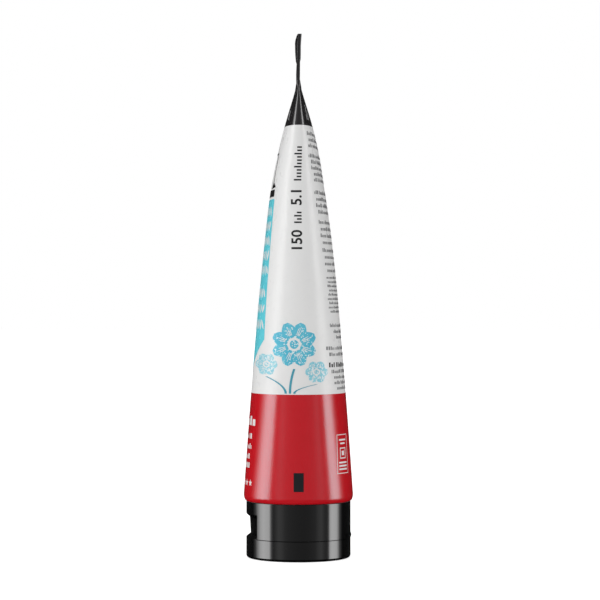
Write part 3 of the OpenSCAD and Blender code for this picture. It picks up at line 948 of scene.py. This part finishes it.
def star(s, z, r):
    """A star with five points."""
    shape = []
    for k in range(10):
        a = math.pi / 2 + math.pi * k / 5
        q = r if k % 2 == 0 else r * 0.42
        shape.append((s + q * math.cos(a), z + q * math.sin(a)))
    return shape


# The panel and the roller drawn above it
PANEL_Z0, PANEL_Z1 = 79.9, 130.3
PANEL_POINT = 12.4
ROLLER_Z0, ROLLER_Z1 = 131.2, 133.7
ROLLER_HALF_S = 17.9
FRAME_Z, HANDLE_Z = 146.4, 154.4
FRAME_HALF_S = 15.6
FRAME_LINE = 0.6

# The print on the black end, and how its lower edge lies
END_DROP = 0.85
END_DIP = 0.65
END_MARKS_Z = 160.8
END_MARKS_H = 5.2
END_MARKS_HALF_S = 26.4


def panel_half_s(z):
    return 16.2 + 2.4 * ((z - PANEL_Z0) / (PANEL_Z1 - PANEL_Z0)) ** 2


def dress_front(rng, add):
    """Front: panel with gouge cuts, drawn roller above it, and marks and stars on the red band."""
    f = FRONT_S
    sides = [PANEL_Z0 + (PANEL_Z1 - PANEL_Z0) * k / 10 for k in range(11)]
    panel = [(f, PANEL_Z0 - PANEL_POINT)] + [(f + panel_half_s(z), z) for z in sides]
    panel += [(f - panel_half_s(z), z) for z in sides[::-1]]
    add("front_panel", [panel], "cyan", ON_SLEEVE, "cyan_print", "print_cyan")
    cuts = gouges(rng, f - 16.6, f + 16.6, 102.3, 128.6, 2.5, 4.4)
    cuts += gouges(rng, f - 15.2, f + 15.2, 82.5, 99.5, 2.5, 4.3)
    add("panel_cuts", cuts, "light", ON_PANEL, "cyan_print")

    drawn = [rect(f - ROLLER_HALF_S, f + ROLLER_HALF_S, ROLLER_Z0, ROLLER_Z1)]
    bearing = [(11.8, 0.45), (18.6, 0.8), (18.2, 1.3), (15.3, 2.7), (14.3, 2.7), (12.2, 1.0)]
    arm = [(14.3, 2.6), (15.2, 2.6), (15.6, FRAME_Z - ROLLER_Z1 + 0.5), (14.7, FRAME_Z - ROLLER_Z1)]
    for side in (-1, 1):
        drawn += [[(f + side * s, ROLLER_Z1 + z) for s, z in shape][::side] for shape in (bearing, arm)]
    drawn += [rect(f - FRAME_HALF_S, f + FRAME_HALF_S, FRAME_Z, FRAME_Z + FRAME_LINE)]
    drawn += [bar(f, (FRAME_Z + HANDLE_Z) / 2 + 0.5, 6.2, HANDLE_Z - FRAME_Z - 1.0)]
    drawn += [rect(f - 1.2, f + 1.2, FRAME_Z + FRAME_LINE, FRAME_Z + 2.2)]
    add("printed_roller", drawn, "black", ON_SLEEVE, "black_print")

    rows = [(44.75, 10.0), (41.05, 9.4), (37.45, 9.8), (34.15, 9.7)]
    marks = glyphs(rng, f - 12.4, f + 12.4, 50.3, 3.4) + centred_glyphs(rng, f, rows, 1.9)
    marks += [star(f + 3.3 * k, 27.8, 1.35) for k in range(-3, 4)]
    add("front_lines", marks, "light", ON_BAND, "red_print", step_s=0.8)


def dress_sides(skin, add):
    """Sides: plain flowers, and the contents in plain numerals beside a scale of ticks."""
    big_y, big_z = -1.5, BAND_Z + 18
    flowers = [
        ("big_flower", "leaf", flower((big_y, big_z), 8.0, 8, big_y - 1.5)),
        ("left_flower", "pale", flower((big_y - 10, BAND_Z + 10.8), 4.0, 6, big_y - 3)),
        ("right_flower", "pale", flower((big_y + 8, BAND_Z + 8.1), 4.0, 6, big_y)),
    ]

    def laid(shapes):
        return [[(skin.side_s(y, z), z) for y, z in shape] for shape in shapes]

    for name, finish, (petals, cuts, stem) in flowers:
        petals, cuts, stem = laid(petals), laid(cuts), laid([stem])
        add(name, petals + mirrored(petals), finish, ON_SLEEVE, "cyan_print")
        add(name + "_cuts", cuts + mirrored(cuts), "light", ON_FLOWER, "cyan_print")
        add(name + "_stem", stem + mirrored(stem), "stem", ON_TOP, "cyan_print", step_s=0.5)
    foot = 1.25
    numbers = [numerals("150", foot, 111.2), numerals("5.1", foot, 127.6)]
    scale = ticks(foot, 121.4, 125.2, 2) + ticks(foot, 136.4, 147.9, 4)
    add("contents_mark", scale, "dark", ON_SLEEVE, "black_print", meshes=numbers, step_s=0.5)


def dress_back(rng, add):
    """Back: paragraphs of fine marks, and an outlined box on the red band."""
    b = BACK_S
    rows = rows_between(153.3, 149.0, 27.7, 27.4, 3) + rows_between(145.4, 137.0, 27.2, 24.6, 5)
    rows += rows_between(132.5, 125.6, 24.2, 23.6, 4) + rows_between(122.0, 114.8, 22.4, 21.6, 4)
    rows += rows_between(112.0, 104.8, 20.7, 19.2, 4)
    add("fine_print", centred_glyphs(rng, b, rows, 1.35), "grey", ON_SLEEVE, "black_print")
    rows = rows_between(102.2, 90.0, 18.8, 18.2, 9)
    add("finest_print", centred_glyphs(rng, b, rows, 0.9), "grey", ON_SLEEVE, "black_print")
    rows = rows_between(85.0, 82.8, 17.7, 16.0, 2) + [(80.8, 13.0)]
    rows += rows_between(76.8, 74.6, 20.4, 19.6, 2) + rows_between(68.4, 62.4, 17.6, 15.6, 4)
    add("lower_print", centred_glyphs(rng, b, rows, 1.25), "grey", ON_SLEEVE, "black_print")
    heading = centred_glyphs(rng, b, [(70.8, 19.0)], 1.7)
    add("print_heading", heading, "dark", ON_SLEEVE, "black_print")
    middle = 19.6
    box = frame_box(middle - 3.8, middle + 3.8, 31.4, 45.6, 0.26)
    box += frame_box(middle - 2.0, middle + 2.0, 36.8, 40.8, 0.4)
    box += [rect(middle - 0.8, middle + 0.8, 38.0, 39.6)]
    box += [bar(middle, 43.6, 5.0, 0.6), bar(middle, 42.3, 3.6, 0.6)]
    box += [bar(middle, z, 5.4, 0.6) for z in (35.4, 34.2, 33.0)]
    add("outlined_box", box, "light", ON_BAND, "red_print", step_s=0.5)


def dress_sleeve(skin, look):
    """All print pieces, each with its material slot and the CAD node whose look it makes."""
    rng = np.random.default_rng(7)
    made = []

    def add(name, shapes, finish, high, slot, node=None, **more):
        obj = print_shapes(skin, name, shapes, look[finish], high, **more)
        made.append((obj, slot, node))

    low = heights((RIM_Z, ROUND_Z, 0.24), (ROUND_Z, BAND_Z, 1.25))
    made.append((print_band(skin, "red_band", low, look["red"]), "red_print", "print_red"))
    high = heights((END_Z - END_DROP, 168, 0.8), (168, TUBE_H, 0.3))
    end = print_band(skin, "black_end", high, look["black"], dip=END_DIP)
    made.append((end, "black_print", "print_black"))
    add("eye_mark", [rect(-1.7, 1.9, 25.4, 32.2)], "mark", ON_TOP, "black_print", step_s=0.5)
    dress_front(rng, add)
    dress_sides(skin, add)
    dress_back(rng, add)
    ends = []
    for middle, side in ((FRONT_S, -1), (BACK_S, 1)):
        marks = glyphs(rng, -END_MARKS_HALF_S, END_MARKS_HALF_S, END_MARKS_Z, END_MARKS_H, 0.24)
        ends += [[(middle + side * s, z) for s, z in mark][::side] for mark in marks]
    add("end_marks", ends, "faint", ON_SLEEVE, "black_print")
    return made


# Stage

# Direction from the camera's side (degrees, minus to the left in the picture) and brightness of
# the studio walls that only reflections see: two tall soft boxes, dark gaps and dim fills
GLOW = [
    (-180, 0.02), (-118, 0.02), (-110, 0.4), (-102, 2.2), (-92, 6.6), (-83, 8.8), (-74, 8.8),
    (-67, 8.6), (-63, 2.6), (-60, 0.9), (-56, 0.38), (-51, 0.64), (-44, 1.0), (-37, 0.9),
    (-30, 0.58), (-23, 0.45), (-10, 0.36), (0, 0.32), (12, 0.3), (23, 0.33), (37, 0.45),
    (44, 0.77), (51, 0.95), (59, 0.52), (64, 0.4), (69, 1.0), (73.2, 7.8), (78, 9.0), (83, 8.6),
    (92, 7.0), (102, 0.9), (108, 0.2), (113, 0.02), (180, 0.02),
]
GLOW_LOW, GLOW_HIGH, GLOW_FLOOR = -240.0, 1700.0, -280.0
GLOW_R = 1000.0
GLOW_STEP = 3.0
WORLD_FILL = 0.87
FLOOR_FILL = 0.62
FLOOR_HALF = 6000.0
FLOOR_Z = -0.05
LAMP_TURN = -72
LAMP_AWAY = 1.5
LAMP_Z = 0.55
LAMP_AIM_Z = 0.1
LAMP_POWER = 6.4
CAMERA_PLACE = (0.807, 0.00057, 0.0941)
CAMERA_LENS = 132


def build_world():
    world = bpy.data.worlds.new("studio")
    bpy.context.scene.world = world
    world.use_nodes = True
    tree = world.node_tree
    background = tree.nodes["Background"]
    paths = tree.nodes.new("ShaderNodeLightPath")
    add1, add2 = (tree.nodes.new("ShaderNodeMath") for _ in range(2))
    add1.operation = add2.operation = "MAXIMUM"
    tree.links.new(paths.outputs["Is Camera Ray"], add1.inputs[0])
    tree.links.new(paths.outputs["Is Glossy Ray"], add1.inputs[1])
    tree.links.new(add1.outputs[0], add2.inputs[0])
    tree.links.new(paths.outputs["Is Transmission Ray"], add2.inputs[1])
    strength = tree.nodes.new("ShaderNodeMapRange")
    strength.inputs["To Min"].default_value = WORLD_FILL
    strength.inputs["To Max"].default_value = 1.0
    tree.links.new(add2.outputs[0], strength.inputs["Value"])
    tree.links.new(strength.outputs[0], background.inputs["Strength"])
    background.inputs["Color"].default_value = (1, 1, 1, 1)


def build_walls():
    """The studio's walls, closed by a dark disc below."""
    angles = np.unique(np.r_[np.arange(-180, 180, GLOW_STEP), [a for a, _ in GLOW if a < 180]])
    glow = np.interp(angles, *zip(*GLOW))
    turn = np.radians(angles)
    around = np.stack([np.cos(turn), np.sin(turn), 0 * turn], -1)
    rings = [r * around + [0, 0, z] for r, z in ((0.05 * GLOW_R, GLOW_FLOOR), (0.9 * GLOW_R, GLOW_FLOOR),
                                                 (GLOW_R, GLOW_LOW), (GLOW_R, GLOW_HIGH))]
    faces = ring_faces(len(rings), len(angles)).tolist() + [list(range(len(angles)))[::-1]]
    walls = add_object("studio_walls", np.concatenate(rings), faces, None, smooth=False)
    attribute = walls.data.attributes.new("glow", "FLOAT", "POINT")
    attribute.data.foreach_set("value", np.r_[0 * glow, 0 * glow, glow, glow].astype(np.float32))
    material = bpy.data.materials.new("studio_walls")
    material.use_nodes = True
    tree = material.node_tree
    tree.nodes.clear()
    emission = tree.nodes.new("ShaderNodeEmission")
    read = tree.nodes.new("ShaderNodeAttribute")
    read.attribute_name = "glow"
    output = tree.nodes.new("ShaderNodeOutputMaterial")
    tree.links.new(read.outputs["Fac"], emission.inputs["Strength"])
    tree.links.new(emission.outputs[0], output.inputs[0])
    walls.data.materials.append(material)
    walls.visible_camera = walls.visible_diffuse = walls.visible_shadow = False
    walls.visible_transmission = walls.visible_volume_scatter = False


def build_floor():
    corners = [(x, y, FLOOR_Z) for x, y in rect(-FLOOR_HALF, FLOOR_HALF, -FLOOR_HALF, FLOOR_HALF)]
    floor = add_object("floor", corners, [[0, 1, 2, 3]], None, smooth=False)
    material = bpy.data.materials.new("white_floor")
    material.use_nodes = True
    tree = material.node_tree
    shader = tree.nodes["Principled BSDF"]
    shader.inputs["Base Color"].default_value = (0.8, 0.8, 0.8, 1)
    shader.inputs["Roughness"].default_value = 1.0
    shader.inputs["Specular IOR Level"].default_value = 0.0
    shader.inputs["Emission Color"].default_value = (1, 1, 1, 1)
    paths = tree.nodes.new("ShaderNodeLightPath")
    fill = tree.nodes.new("ShaderNodeMapRange")
    fill.inputs["To Min"].default_value = 0.0
    fill.inputs["To Max"].default_value = FLOOR_FILL
    tree.links.new(paths.outputs["Is Camera Ray"], fill.inputs["Value"])
    tree.links.new(fill.outputs[0], shader.inputs["Emission Strength"])
    floor.data.materials.append(material)
    floor.visible_glossy = False


def build_lamp():
    lamp_data = bpy.data.lights.new("left_box", "AREA")
    lamp_data.shape = "RECTANGLE"
    lamp_data.size, lamp_data.size_y = 0.9, 1.6
    lamp_data.energy = LAMP_POWER
    lamp = bpy.data.objects.new("left_box", lamp_data)
    bpy.context.scene.collection.objects.link(lamp)
    a = math.radians(LAMP_TURN)
    lamp.location = (LAMP_AWAY * math.cos(a), LAMP_AWAY * math.sin(a), LAMP_Z)
    direction = np.array([0, 0, LAMP_AIM_Z]) - np.array(lamp.location)
    lamp.rotation_euler = (math.atan2(math.hypot(direction[0], direction[1]), -direction[2]), 0,
                           math.atan2(direction[1], direction[0]) - math.pi / 2)
    lamp.visible_glossy = False


def build_camera():
    camera_data = bpy.data.cameras.new("camera")
    camera_data.lens = CAMERA_LENS
    camera_data.sensor_width = 36
    camera_data.clip_start, camera_data.clip_end = 0.01, 20
    camera = bpy.data.objects.new("camera", camera_data)
    bpy.context.scene.collection.objects.link(camera)
    camera.location = CAMERA_PLACE
    camera.rotation_euler = (math.pi / 2, 0, math.pi / 2)
    bpy.context.scene.camera = camera
    bpy.context.scene.view_settings.view_transform = "Standard"


def main():
    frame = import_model()
    look = make_finishes()
    skin = Skin()

    sleeve = sleeve_shell(skin, look["white"])
    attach(sleeve, "tube")
    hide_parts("sleeve")

    for obj, slot, node in dress_sleeve(skin, look):
        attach(obj, "tube")
        if node:
            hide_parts(node)

    angles = turn_angles()
    base = turned("cap_base_moulding", base_corners, look["cap"], True, angles)
    lid = turned("cap_lid_moulding", lid_corners, look["cap"], False, angles)
    for obj, body, node in ((base, "tube", "cap_base"), (lid, "lid", "cap_lid")):
        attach(obj, body)
        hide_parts(node)
    strap_angles = np.linspace(BACK - HINGE_HALF_ANGLE, BACK + HINGE_HALF_ANGLE, 60)
    strap = turned("hinge_web", strap_corners, look["cap"], True, strap_angles, whole=False)
    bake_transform(strap)
    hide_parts("hinge_strap")

    for node, finish in (("tube_head", "head"), ("ink", "ink")):
        mesh = frame["nodes"][node].data
        mesh.materials.clear()
        mesh.materials.append(look[finish])

    build_world()
    build_walls()
    build_floor()
    build_lamp()
    build_camera()


main()
